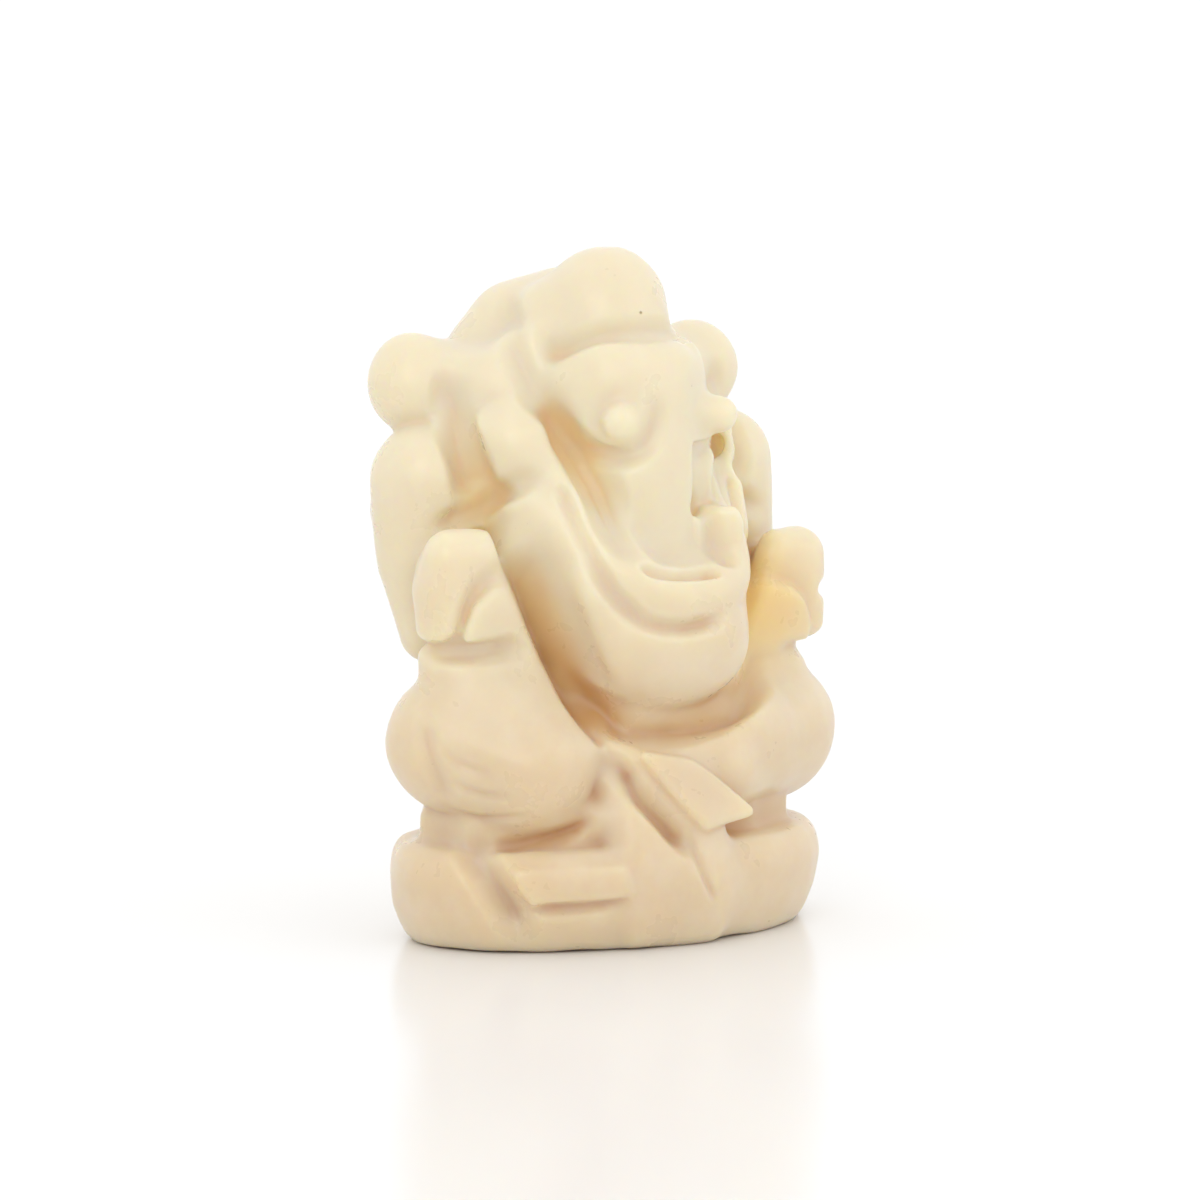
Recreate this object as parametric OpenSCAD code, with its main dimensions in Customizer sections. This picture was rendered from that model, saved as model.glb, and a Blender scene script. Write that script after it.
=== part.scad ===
// Seated Ganesha, a small temple and desk idol carved from one piece of polished cream stone.
// The carving is divided into its carved forms. Each form is a closed solid in its own node,
// and neighbours meet face to face: a form that lies over a deeper one stops at its surface.
// Nothing moves.
// Millimetres, +Z up. The origin is the middle of the underside. The figure faces -Y, so its
// own right hand is towards -X.

/* [Plinth] */
// Width of the plinth at its fullest line
plinth_w = 34.4; // [28:0.2:42]
// Depth of the plinth at its fullest line
plinth_d = 23.4; // [19:0.2:30]
// Height of the plinth
plinth_h = 7.4; // [5:0.2:11]
// How far the underside is drawn in from the fullest line
plinth_tuck = 1.6; // [0.4:0.1:3]
// How far the top edge is drawn in from the fullest line
plinth_ease = 1; // [0.3:0.1:2]
// Width of the notch cut in its front beside the right foot
notch_w = 1.8; // [0.8:0.1:3]

/* [Legs] */
// Distance of the middle of each knee from the middle line
knee_x = 13.3; // [11:0.1:16]
// Thickness of a knee
knee_t = 10.8; // [9:0.2:14]
// Height of the middle of the knees above the plinth
knee_rise = 7; // [5.5:0.1:8.5]
// Thickness of the shins that cross the lap
shin_t = 8.2; // [6.6:0.2:10]
// How far the shins stand in front of the middle of the plinth
lap_reach = 5.4; // [4:0.1:7]
// Length of the right foot along the edge of the plinth
right_foot_l = 8.4; // [7:0.2:10]
// Thickness of the right foot
right_foot_t = 3.4; // [2.4:0.1:4.6]
// How far the right foot reaches in over the plinth from its edge
right_foot_w = 2.2; // [1:0.1:4]
// How far the right foot stands out past the edge of the plinth
right_foot_proud = 0.8; // [0.3:0.1:1.6]
// Distance of the toes of the right foot from the middle line
toe_x = 7; // [5.5:0.1:9]
// Length of the left foot down the lap
left_foot_l = 8; // [6:0.1:10]
// Width of the left foot
left_foot_w = 4.6; // [3:0.1:6]
// Radius along the edges of the feet
foot_edge = 0.75; // [0.4:0.05:1.2]

/* [Cloth] */
// Width of the cloth fall at the foot of the plinth
cloth_w = 8; // [5:0.2:12]
// Thickness of the cloth where it leaves the lap
cloth_t = 4; // [3:0.1:5]
// How far the cloth stands out from the plinth
cloth_proud = 0.6; // [0.2:0.1:1.5]
// How far the cloth falls to the figure's right of the middle line
cloth_x = 1.4; // [0:0.1:3]

/* [Body] */
// Width of the belly
belly_w = 14.4; // [11:0.2:18]
// Depth of the belly
belly_d = 11.6; // [9:0.2:14]
// Height of the belly
belly_h = 11.2; // [9.6:0.2:13]
// Height of the middle of the belly above the plinth
belly_rise = 15.1; // [14:0.2:17]
// How far the middle of the belly stands in front of the middle of the plinth
belly_reach = 5.6; // [4:0.1:7]
// Width across the shoulders
shoulder_w = 20.8; // [17:0.2:25]
// Thickness of a shoulder
shoulder_t = 6.4; // [5:0.2:9]
// Height of the shoulders above the middle of the belly
shoulder_rise = 6.5; // [5:0.2:8]
// How far the arms and shoulders stand in front of the middle of the plinth
arm_reach = 1.2; // [0:0.1:2.5]
// Thickness of the chest beside the face
chest_t = 5.6; // [4:0.1:7]
// Thickness of the trunk of the body, behind the belly
torso_t = 8.4; // [7:0.1:10]
// Width of the waist between the arms
waist_w = 15; // [11:0.2:19]
// Thickness of the back
back_t = 7.6; // [6:0.2:10]
// How far the middle of the back stands behind the middle of the plinth
back_set = 6.6; // [5:0.1:8]

/* [Head] */
// How far the chin hangs below the shoulders
chin_drop = 1.2; // [-1:0.1:3]
// Height of the face from chin to brow
face_h = 16; // [13:0.2:19]
// Width of the face across the temples
face_w = 13; // [10:0.2:16]
// How far the front of the trunk stands before the axis of the head
face_reach = 7.8; // [6.5:0.1:9.5]
// Thickness of the brow
brow_t = 4; // [3:0.1:5]
// Turn of the head towards its own left
head_turn = 6; // [0:1:12]
// Width of the trunk
trunk_w = 2.9; // [2:0.1:4]
// Radius along the crisp edge of the trunk
trunk_edge = 0.4; // [0.2:0.05:0.8]
// How far the curled tip stands away to the side of the trunk
tip_reach = 4.1; // [3:0.1:5]
// Height of the curled tip
tip_h = 4; // [3:0.1:6]
// Thickness of the curled tip
tip_t = 2.2; // [1.6:0.1:3]
// Diameter of an eye
eye_d = 2.9; // [2:0.1:3.6]
// Distance between the eyes
eye_gap = 8.6; // [6.5:0.1:10]
// Thickness of the jaw band
jaw_t = 4; // [3:0.1:4.8]
// Width of the jaw, from the middle of the band on one side to the other
jaw_w = 11.8; // [9:0.2:14]
// How far the jaw band runs forward from the cheeks
jaw_reach = 5.3; // [4:0.1:6.5]
// How far the jaw band dips from the cheeks to the front
jaw_dip = 6.4; // [4:0.1:8]
// Height of an ear
ear_h = 5.6; // [4:0.1:7.5]
// Thickness of the rim of an ear
ear_t = 1.8; // [1.2:0.1:2.6]
// Distance of the rim of each ear from the middle line
ear_x = 11.8; // [10.5:0.1:13]
// Width of the crown
crown_w = 9.8; // [8:0.2:12]
// Height of the crown above the brow
crown_h = 6.2; // [4.5:0.1:8]
// Width of the hair behind the crown
hair_w = 18.6; // [15:0.2:22]
// Thickness of the locks of hair
hair_t = 7.2; // [6:0.1:8.5]

/* [Arms] */
// Distance of each rear hand from the middle line
rear_hand_x = 12.4; // [10.5:0.1:14.5]
// Diameter of a rear hand
rear_hand_d = 6.8; // [5:0.1:8.5]
// Thickness of a rear arm
rear_arm_t = 8; // [6:0.1:10]
// Distance of each front hand from the middle line
hand_x = 13.8; // [12:0.1:16]
// Height of a front hand above its wrist
hand_h = 8.6; // [7:0.1:11]
// Width of a front hand
hand_w = 7.4; // [6:0.1:9]
// Thickness of a front hand
hand_t = 6; // [5:0.1:8]
// Thickness of a thumb
thumb_t = 1.8; // [1.2:0.1:2.6]
// Height of a wrist
wrist_h = 1.6; // [0.8:0.1:3]
// How much lower the left front hand sits than the right
left_hand_drop = 1.6; // [0:0.1:3]

/* [Hidden] */
$fn = 16;
stone_upper = [0.95, 0.91, 0.80];
stone_lower = [0.89, 0.79, 0.66];
lap_y = -lap_reach;
belly_y = -belly_reach;
arm_y = -arm_reach;
back_y = back_set;
trunk_y = -face_reach;
seat_z = plinth_h;
knee_z = seat_z + knee_rise;
belly_z = seat_z + belly_rise;
shoulder_z = belly_z + shoulder_rise;
chin_z = shoulder_z - chin_drop;
brow_z = chin_z + face_h;
wrist_z = belly_z - wrist_h * 0.94;
hand_z = wrist_z + wrist_h / 2;
shoulder_x = (shoulder_w - shoulder_t) / 2;
eye_z = face_h * 0.625;
rim_z = plinth_h * 0.62;

// ---- shapes used all over the carving ----

// A ball of stone: r is one radius, or one radius for each axis
module ball(at, r) {
    translate(at) scale(r) sphere(r = 1);
}

// A smooth form drawn over several balls, each given as [centre, radius]
module draped(balls) {
    hull() for (b = balls) ball(b[0], b[1]);
}

// A rounded ridge through several balls, each given as [centre, radius]
module ridge(balls) {
    for (i = [1 : len(balls) - 1]) draped([balls[i - 1], balls[i]]);
}

// The figure's left is +X, so s is -1 on its right side and 1 on its left
module on_side(s) {
    mirror([s < 0 ? 1 : 0, 0, 0]) children();
}

// Everything that turns with the head, with z measured from the chin
module turned() {
    translate([0, 0, chin_z]) rotate([0, 0, head_turn]) children();
}

// The front edge of the plinth at a distance x from the middle line
function edge_y(x) = -plinth_d / 2 * sqrt(max(0, 1 - pow(2 * x / plinth_w, 2)));

// The front of the cloth at a height z, as it slopes from the lap to the edge of the plinth
function fall_y(z) =
    let (top = [lap_y - cloth_t * 1.1, knee_z - cloth_t * 0.35])
    let (hem = [-plinth_d / 2 - cloth_proud, rim_z])
    top[0] + (hem[0] - top[0]) * (top[1] - z) / (top[1] - hem[1]);

// ---- carved forms, before the deeper forms are taken away ----

module plinth_form() {
    // rings from the underside up: [share of the height, how far in from the fullest line]
    rings = [[0, plinth_tuck], [0.12, plinth_tuck * 0.62], [0.35, plinth_tuck * 0.2], [0.68, 0],
        [0.88, plinth_ease * 0.3], [1, plinth_ease]];
    sheet = 0.01;
    hull()
        for (k = rings)
            translate([0, 0, k[0] * (plinth_h - sheet)])
                scale([plinth_w / 2 - k[1], plinth_d / 2 - k[1], 1])
                    cylinder(r = 1, h = sheet, $fn = 44);
}

// The wheel-cut notch in the front of the plinth, down from the heel of the right foot
module notch() {
    r = notch_w / 2;
    x = toe_x + right_foot_l;
    hull() for (b = [[x + r * 0.4, seat_z + r], [x - right_foot_l * 0.3, plinth_tuck * 0.7]])
        ball([-b[0], edge_y(b[0]) - r * 0.3, b[1]], r);
}

module back_form() {
    r = back_t / 2;
    for (part = ["waist", "shoulders"]) hull() for (m = [-1, 1]) {
        ball([m * waist_w / 2, back_y, wrist_z], r);
        if (part == "waist") ball([m * (waist_w / 2 + r * 0.1), back_y - r * 0.1, seat_z + r * 0.8], r);
        else {
            ball([m * rear_hand_x * 0.97, back_y, shoulder_z + shoulder_t * 0.31], r);
            ball([m * rear_hand_x * 0.74, back_y, brow_z - brow_t * 1.25], r * 0.85);
            ball([m * rear_hand_x * 0.4, back_y, brow_z - brow_t * 0.7], r * 0.85);
        }
    }
}

module torso_form() {
    r = shoulder_t / 2;
    core = torso_t / 2;
    rear = back_t * 0.4;
    hull() for (s = [-1, 1]) {
        ball([s * shoulder_x, arm_y, shoulder_z], r);
        ball([s * shoulder_x * 0.64, arm_y + r * 0.7, shoulder_z + r * 0.94], r);
        ball([s * shoulder_x * 0.86, back_y - rear, shoulder_z + r * 0.62], r);
    }
    hull() for (s = [-1, 1]) {
        ball([s * (waist_w / 2 - core), arm_y, shoulder_z], core);
        ball([s * (waist_w / 2 - core), arm_y, knee_z - core * 0.24], core);
        ball([s * (waist_w / 2 - core), back_y - rear, knee_z - core * 0.24], rear);
    }
}

module belly_form() {
    draped([[[0, belly_y, belly_z], [belly_w / 2, belly_d / 2, belly_h / 2]]], $fn = 24);
    // the chest narrows from each shoulder, beside the face, down to the belly
    r = chest_t / 2;
    for (s = [-1, 1])
        draped([
            [[s * belly_w * 0.17, belly_y, belly_z], [belly_w * 0.3, belly_d * 0.4, belly_h * 0.4]],
            [[s * belly_w * 0.4, belly_y + belly_d * 0.14, belly_z + belly_h * 0.23], r * 0.93],
            [[s * shoulder_x * 0.97, arm_y - shoulder_t * 0.19, shoulder_z - shoulder_t * 0.06], r],
            [[s * shoulder_x * 0.78, arm_y, chin_z + face_h * 0.31], r]]);
}

// The jaw band hangs from cheek to cheek round the front, thickest in the middle
module jaw_form() {
    r = jaw_t / 2;
    step = 22.5;
    turned() ridge([for (a = [-90 : step : 90])
        let (dip = pow(max(0, cos(a)), 0.8))
        [[jaw_w / 2 * sin(a), jaw_reach - face_reach * 1.14 - jaw_reach * dip, face_h * 0.24 - jaw_dip * dip],
            r * (1 - 0.2 * pow(sin(a), 2))]], $fn = 12);
}

module head_form() {
    w = face_w / 2;
    r = brow_t / 2;
    tip = trunk_w * 0.38;
    turned() hull() {
        for (s = [-1, 1]) {
            ball([s * tip, trunk_y + r * 0.95, face_h - r], r * 0.7);
            ball([s * w / 2, trunk_y * 0.46, face_h - r], r);
            ball([s * (w - r), -r * 0.2, face_h - r * 2.2], r);
            ball([s * w * (s > 0 ? 0.66 : 0.48), trunk_y * 0.59, eye_z - r / 2], r * 0.95);
            ball([s * tip * 1.36, trunk_y + tip * 1.45, tip * 1.1], tip);
            ball([s * w * 0.52, -r / 4, face_h * 0.31], r);
        }
        ball([0, r, face_h * 0.56], r * 1.5);
    }
}

// The trunk has a crisp edge on its left and slopes back into the face on its right
module trunk_form() {
    e = trunk_edge;
    x = trunk_w / 2 - e;
    r = trunk_w * 0.3;
    top = face_h - brow_t * 0.7;
    turned() draped([for (z = [r, top]) each [
        [[x, trunk_y + e, z], e],
        [[x, trunk_y + trunk_w * 0.62, z], e],
        [[-x - r * 0.5, trunk_y + r * 1.6, z], r]]], $fn = 12);
}

module trunk_tip_form() {
    r = tip_t / 2;
    web = r * 0.6;
    y = trunk_y - trunk_edge;
    root = [[trunk_w / 2 - r * 0.8, trunk_y + r * 0.8, r * 0.8], r];
    bend = [[tip_reach - r * 0.2, y + trunk_edge, r * 0.9], r];
    turned() {
        ridge([root, bend, [[tip_reach, y, tip_h - r * 0.9], r]], $fn = 12);
        draped([for (z = [r, tip_h - web])
            for (b = [[trunk_w / 2 - web, y + web * 2.4], [tip_reach - web / 2, y + web * 1.3]])
                [[b[0], b[1], z], web]], $fn = 10);
    }
}

module eye_form(s) {
    at = s < 0 ? [-eye_gap * 0.395, trunk_y * 0.72, eye_z] : [eye_gap * 0.605, trunk_y * 0.78, eye_z];
    turned() ball(at, eye_d / 2, $fn = 18);
}

module ear_form(s) {
    r = ear_t / 2;
    z = face_h * 0.34;
    turned() on_side(s) draped([
        [[ear_x, r * 1.1, z + ear_h * 0.9], r], [[ear_x * 0.78, -r * 1.1, z + ear_h * 0.82], r],
        [[ear_x * 0.755, -r * 2.4, z + ear_h * 0.14], r], [[ear_x * 0.925, r * 0.2, z], r],
        [[ear_x / 2, r * 3.3, z + ear_h / 2], r * 2.2]]);
}

// The crown is a dome, with a swelling low behind its right side
module crown_form() {
    r = crown_w / 2;
    turned() {
        draped([
            [[0, r * 0.12, face_h + crown_h - r], [r * 0.96, r * 0.96, r]],
            [[0, 0, face_h - r * 0.12], [r, r * 1.04, r * 0.74]]], $fn = 26);
        draped([[[-r * 0.45, r * 0.5, face_h + r * 0.08], r * 0.75], [[0, r * 0.4, face_h], r * 0.75]]);
    }
}

module hair_form() {
    r = hair_t / 2;
    hull() {
        ball([0, back_y - r * 0.1, brow_z], r * 1.17);
        for (s = [-1, 1]) {
            ball([s * (hair_w / 2 - r * 1.44), back_y, brow_z + r * 0.11], r);
            ball([s * (hair_w / 2 - r * 0.9), back_y, brow_z - r / 2], r);
            ball([s * (hair_w / 2 - r * 0.84), back_y - r * 0.28, brow_z - r * 1.67], r);
        }
    }
}

module rear_hand_form(s) {
    r = rear_hand_d / 2;
    on_side(s) draped([
        [[rear_hand_x, back_y + r * 0.12, brow_z - r * 1.09], [r, r, r * 1.09]],
        [[hair_w / 2, back_y + r * 0.12, brow_z - r * 1.3], r]]);
}

module rear_arm_form(s) {
    r = rear_arm_t / 2;
    on_side(s) draped([
        [[rear_hand_x * 1.05, back_y - r * 0.45, shoulder_z + r * 1.05], [r, r, r * 1.05]],
        [[rear_hand_x * 1.08, back_y - r * 0.55, shoulder_z - r * 0.4], r * 0.85],
        [[rear_hand_x * 1.06, back_y - r * 0.65, belly_z], r * 0.55]]);
}

// The right leg lies highest at the forearm, and the left shin crosses the lap below it
module leg_form(s) {
    r = knee_t / 2;
    k = shin_t / 2;
    if (s < 0)
        on_side(s) draped([
            [[knee_x, -r * 0.1, knee_z + r * 0.08], [r * 1.03, r, r]],
            [[knee_x * 0.77, lap_y + k * 0.24, knee_z - k * 0.34], k * 1.2],
            [[knee_x * 0.97, lap_y + k * 0.83, knee_z + r * 0.7], r * 0.62],
            [[knee_x * 0.79, lap_y + k * 0.44, knee_z + r * 0.6], r * 0.6]]);
    else
        on_side(s) draped([
            [[knee_x, -r * 0.18, knee_z - r * 0.11], r],
            [[knee_x * 0.94, -r * 0.28, knee_z + r * 0.48], r * 0.62],
            [[knee_x * 0.34, lap_y - k * 0.2, knee_z - k * 0.44], k],
            [[0, lap_y, knee_z - k * 0.4], k * 0.86]]);
}

// The right foot lies along the front edge of the plinth, sole down
module right_foot_form() {
    r = foot_edge;
    heel_x = toe_x + right_foot_l;
    out = r - right_foot_proud;
    draped([for (x = [toe_x - r / 2, toe_x + right_foot_l * 0.4, heel_x - r * 2]) each [
        [[-x, edge_y(x) + right_foot_w, seat_z - r * 0.2], r],
        [[-x - r * 0.3, edge_y(x) + out * 0.6, seat_z - r * 1.9], r],
        [[-x + r * 0.6, edge_y(x) + out, seat_z - right_foot_t + r], r]]]);
}

// The left foot slants down the front of the cloth, from the right shin to the left knee
module left_foot_form() {
    r = foot_edge * 1.07;
    x = -cloth_x - r * 2.7;
    z = knee_z - r * 0.5;
    low = knee_z - left_foot_w;
    draped([
        [[x, fall_y(z) + r * 0.2, z], r],
        [[x + left_foot_l * 0.8, fall_y(low + r * 1.8) + r, low + r * 1.8], r],
        [[x + left_foot_l * 0.85, fall_y(low) + r * 0.7, low], r],
        [[x + left_foot_l * 0.38, fall_y(low - r) - r * 0.3, low - r], r],
        [[x + r * 1.2, fall_y(knee_z - r * 3) - r * 0.2, knee_z - r * 3], r],
        [[x + left_foot_l * 0.58, lap_y, knee_z - r * 3], shin_t / 4]]);
}

module cloth_form() {
    y = -plinth_d / 2 - cloth_proud;
    r = cloth_t / 2;
    half = cloth_w * 0.42;
    draped([
        [[-cloth_x - half, lap_y, knee_z + r * 1.3], r],
        [[-cloth_x + half * 0.65, lap_y, knee_z + r * 1.3], r],
        [[-cloth_x - half * 0.7, lap_y - r * 1.2, knee_z - r * 0.7], r],
        [[-cloth_x + half * 0.7, lap_y - r * 1.2, knee_z - r * 0.8], r],
        [[-cloth_x - half, y + r, rim_z], r * 0.8],
        [[-cloth_x + half, y + r * 0.85, rim_z], r * 0.8],
        [[-cloth_x - half * 0.95, y + r * 1.15, r * 0.6], r / 2],
        [[-cloth_x + half * 0.95, y + r * 0.95, r * 0.6], r / 2]]);
}

// The left front hand sits a little lower than the right
function hand_drop(s) = s > 0 ? left_hand_drop : 0;

module wrist_form(s) {
    w = hand_w / 2;
    t = hand_t / 2;
    translate([0, 0, -hand_drop(s)]) on_side(s) draped([
        [[hand_x, arm_y, wrist_z], [w * 0.92, t, wrist_h]],
        [[hand_x * 0.94, arm_y, wrist_z - t], [w * 1.05, t * 1.07, wrist_h * 1.25]]]);
}

module hand_form(s) {
    x = hand_x;
    w = hand_w / 2;
    y = arm_y - hand_t / 2;
    top = hand_z + hand_h;
    r = hand_w * 0.3;
    small = hand_w * 0.22;
    translate([0, 0, -hand_drop(s)]) on_side(s) draped([
        [[x + w * 0.43, y + r * 0.9, top - r], [r, r * 0.9, r]],
        [[x + w * 0.05, y + small * 0.85, top - r * 0.9], [small * 0.85, small * 0.85, r * 0.9]],
        [[x + w - small * 1.1, y + r * 1.17, top - r * 2.1], [small * 1.1, r * 1.1, r * 1.1]],
        [[x + w - r, y + r * 1.1, hand_z + r * 0.65], [r, r * 1.1, r * 0.65]],
        [[x - w + small * 0.3, y + small / 2, hand_z + small * 0.55], small / 2],
        [[x, y + hand_t - small, hand_z + r * 0.9], small],
        [[x + w * 0.27, y + hand_t - small, top - r * 1.4], small]]);
}

module thumb_form(s) {
    w = hand_w / 2;
    r = thumb_t / 2;
    y = arm_y - hand_t / 2 + r * 0.75;
    translate([0, 0, -hand_drop(s)]) on_side(s) draped([
        [[hand_x - w * 0.7, y, hand_z + r * 1.1], r],
        [[hand_x - w * 0.38, y, hand_z + hand_h * 0.49], r],
        [[hand_x + w * 0.27, y, hand_z + r * 1.1], r]], $fn = 14);
}

// ---- nodes: each form less the deeper ones it lies on ----

module plinth() color(stone_lower) difference() {
    plinth_form();
    notch();
}

module hair() color(stone_upper) hair_form();

module back() color(stone_upper) difference() {
    back_form();
    plinth_form();
    hair_form();
}

module torso() color(stone_upper) difference() {
    torso_form();
    plinth_form();
    hair_form();
    back_form();
}

module belly() color(stone_upper) difference() {
    belly_form();
    torso_form();
}

module head() color(stone_upper) difference() {
    head_form();
    hair_form();
    back_form();
    torso_form();
    belly_form();
}

module jaw() color(stone_upper) difference() {
    jaw_form();
    torso_form();
    belly_form();
    head_form();
}

module trunk() color(stone_upper) difference() {
    trunk_form();
    head_form();
    belly_form();
    jaw_form();
}

module trunk_tip() color(stone_upper) difference() {
    trunk_tip_form();
    trunk_form();
    head_form();
    belly_form();
    jaw_form();
}

module eye(s) color(stone_upper) difference() {
    eye_form(s);
    head_form();
}
module right_eye() eye(-1);
module left_eye() eye(1);

module crown() color(stone_upper) difference() {
    crown_form();
    hair_form();
    back_form();
    head_form();
    trunk_form();
}

module ear(s) color(stone_upper) difference() {
    ear_form(s);
    head_form();
    jaw_form();
    belly_form();
    torso_form();
    hair_form();
    back_form();
    crown_form();
}
module right_ear() ear(-1);
module left_ear() ear(1);

module rear_hand(s) color(stone_upper) difference() {
    rear_hand_form(s);
    back_form();
    hair_form();
}
module right_rear_hand() rear_hand(-1);
module left_rear_hand() rear_hand(1);

module rear_arm(s) color(stone_upper) difference() {
    rear_arm_form(s);
    hair_form();
    back_form();
    torso_form();
    rear_hand_form(s);
    ear_form(s);
}
module right_rear_arm() rear_arm(-1);
module left_rear_arm() rear_arm(1);

module leg(s) color(stone_lower) difference() {
    leg_form(s);
    plinth_form();
    back_form();
    torso_form();
    belly_form();
    if (s > 0) leg_form(-1);
}
module right_leg() leg(-1);
module left_leg() leg(1);

module cloth_fall() color(stone_lower) difference() {
    cloth_form();
    plinth_form();
    torso_form();
    belly_form();
    leg_form(-1);
    leg_form(1);
}

module right_foot() color(stone_lower) difference() {
    right_foot_form();
    plinth_form();
    leg_form(-1);
    cloth_form();
}

module left_foot() color(stone_lower) difference() {
    left_foot_form();
    leg_form(1);
    leg_form(-1);
    cloth_form();
    belly_form();
}

module wrist(s) color(stone_upper) difference() {
    wrist_form(s);
    leg_form(s);
    torso_form();
    belly_form();
    back_form();
    rear_arm_form(s);
}
module right_wrist() wrist(-1);
module left_wrist() wrist(1);

module hand(s) color(stone_upper) difference() {
    hand_form(s);
    wrist_form(s);
    torso_form();
    belly_form();
    rear_arm_form(s);
    back_form();
}
module right_hand() hand(-1);
module left_hand() hand(1);

module thumb(s) color(stone_upper) difference() {
    thumb_form(s);
    hand_form(s);
    wrist_form(s);
}
module right_thumb() thumb(-1);
module left_thumb() thumb(1);

plinth();
cloth_fall();
right_leg();
left_leg();
right_foot();
left_foot();
back();
torso();
belly();
jaw();
head();
trunk();
trunk_tip();
right_eye();
left_eye();
right_ear();
left_ear();
crown();
hair();
right_rear_arm();
left_rear_arm();
right_rear_hand();
left_rear_hand();
right_wrist();
left_wrist();
right_hand();
left_hand();
right_thumb();
left_thumb();
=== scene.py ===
import math

import bmesh
import bpy
import numpy as np
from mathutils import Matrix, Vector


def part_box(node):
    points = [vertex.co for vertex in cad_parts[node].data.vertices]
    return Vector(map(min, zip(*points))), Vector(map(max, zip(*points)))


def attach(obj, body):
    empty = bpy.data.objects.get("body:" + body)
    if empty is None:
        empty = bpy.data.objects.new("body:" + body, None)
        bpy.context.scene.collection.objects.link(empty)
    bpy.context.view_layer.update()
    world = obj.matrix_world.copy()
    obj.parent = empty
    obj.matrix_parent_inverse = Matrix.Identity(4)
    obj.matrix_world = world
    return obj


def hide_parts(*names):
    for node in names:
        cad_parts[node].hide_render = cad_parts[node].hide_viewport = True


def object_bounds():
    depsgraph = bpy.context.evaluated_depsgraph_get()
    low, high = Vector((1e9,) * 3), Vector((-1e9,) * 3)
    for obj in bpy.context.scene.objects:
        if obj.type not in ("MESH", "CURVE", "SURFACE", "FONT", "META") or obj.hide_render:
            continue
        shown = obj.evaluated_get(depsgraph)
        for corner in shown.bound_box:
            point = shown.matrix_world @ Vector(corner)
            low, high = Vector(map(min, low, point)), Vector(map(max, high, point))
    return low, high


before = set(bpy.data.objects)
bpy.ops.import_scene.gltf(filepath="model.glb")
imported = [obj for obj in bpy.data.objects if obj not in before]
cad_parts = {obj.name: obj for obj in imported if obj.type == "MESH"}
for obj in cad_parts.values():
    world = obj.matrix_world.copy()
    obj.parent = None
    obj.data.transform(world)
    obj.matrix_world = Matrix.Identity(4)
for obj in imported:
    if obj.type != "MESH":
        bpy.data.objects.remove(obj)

import openvdb
from bpy.props import FloatProperty, FloatVectorProperty, PointerProperty
from mathutils import Matrix, Vector

bl_info = {
    "name": "Carved stone Ganesha",
    "version": (1, 0, 0),
    "blender": (4, 5, 0),
    "location": "3D View > Sidebar > Idol",
    "description": "Carves, polishes and lights a small seated Ganesha of translucent cream stone",
    "category": "Object",
}

# The idol is one stone. Its forms are laid into one block of signed distances, the grooves are
# ground into that block, and the block is then given a single skin. Lengths are millimetres
# until the skin is made. The figure faces -Y and its own right hand is towards -X.

MM = 0.001
CAD_LOW, CAD_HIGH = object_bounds()
LOWEST = np.array(CAD_LOW) / MM
HIGHEST = np.array(CAD_HIGH) / MM


# ---- landmarks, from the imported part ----

def low(node):
    return np.array(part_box(node)[0]) / MM


def high(node):
    return np.array(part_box(node)[1]) / MM


SEAT_Z = high("plinth")[2]
KNEE_Z = SEAT_Z + 7
BELLY_Z = low("belly")[2] + 5.5
CHIN_Z = low("trunk")[2]
BROW_Z = CHIN_Z + 16
HAND_Z = low("right_hand")[2]
LEFT_HAND_DROP = low("right_hand")[2] - low("left_hand")[2]
SHOULDER_Z = CHIN_Z + 1.2
BACK_Y = high("back")[1] - 3.8
HEAD_TURN = math.radians(6)


# ---- the block of stone ----

def round_points(count):
    """Points spread evenly over a ball of radius 1."""
    step = np.arange(count) + 0.5
    polar = np.arccos(1 - 2 * step / count)
    turn = math.pi * (1 + math.sqrt(5)) * step
    return np.stack([np.cos(turn) * np.sin(polar), np.sin(turn) * np.sin(polar), np.cos(polar)], 1)


BALL = round_points(420)


def hull_mesh(points):
    """The convex hull of the points, as corners and triangles."""
    mesh = bmesh.new()
    for point in points:
        mesh.verts.new(point)
    found = bmesh.ops.convex_hull(mesh, input=mesh.verts)
    bmesh.ops.delete(mesh, geom=found["geom_interior"], context="VERTS")
    mesh.verts.index_update()
    corners = np.array([v.co for v in mesh.verts], np.float32)
    faces = np.array([[v.index for v in f.verts] for f in mesh.faces], np.uint32)
    mesh.free()
    return corners, faces


def turned(point):
    """A point given in the head's own frame, with z from the chin, in the part's frame."""
    x, y, z = point
    c, s = math.cos(HEAD_TURN), math.sin(HEAD_TURN)
    return (x * c - y * s, x * s + y * c, CHIN_Z + z)


def smooth_low(a, b, blend):
    """The lower of two fields, with the crease between them filled to a fillet."""
    share = np.clip(0.5 + 0.5 * (b - a) / blend, 0, 1)
    return b + (a - b) * share - blend * share * (1 - share)


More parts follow.
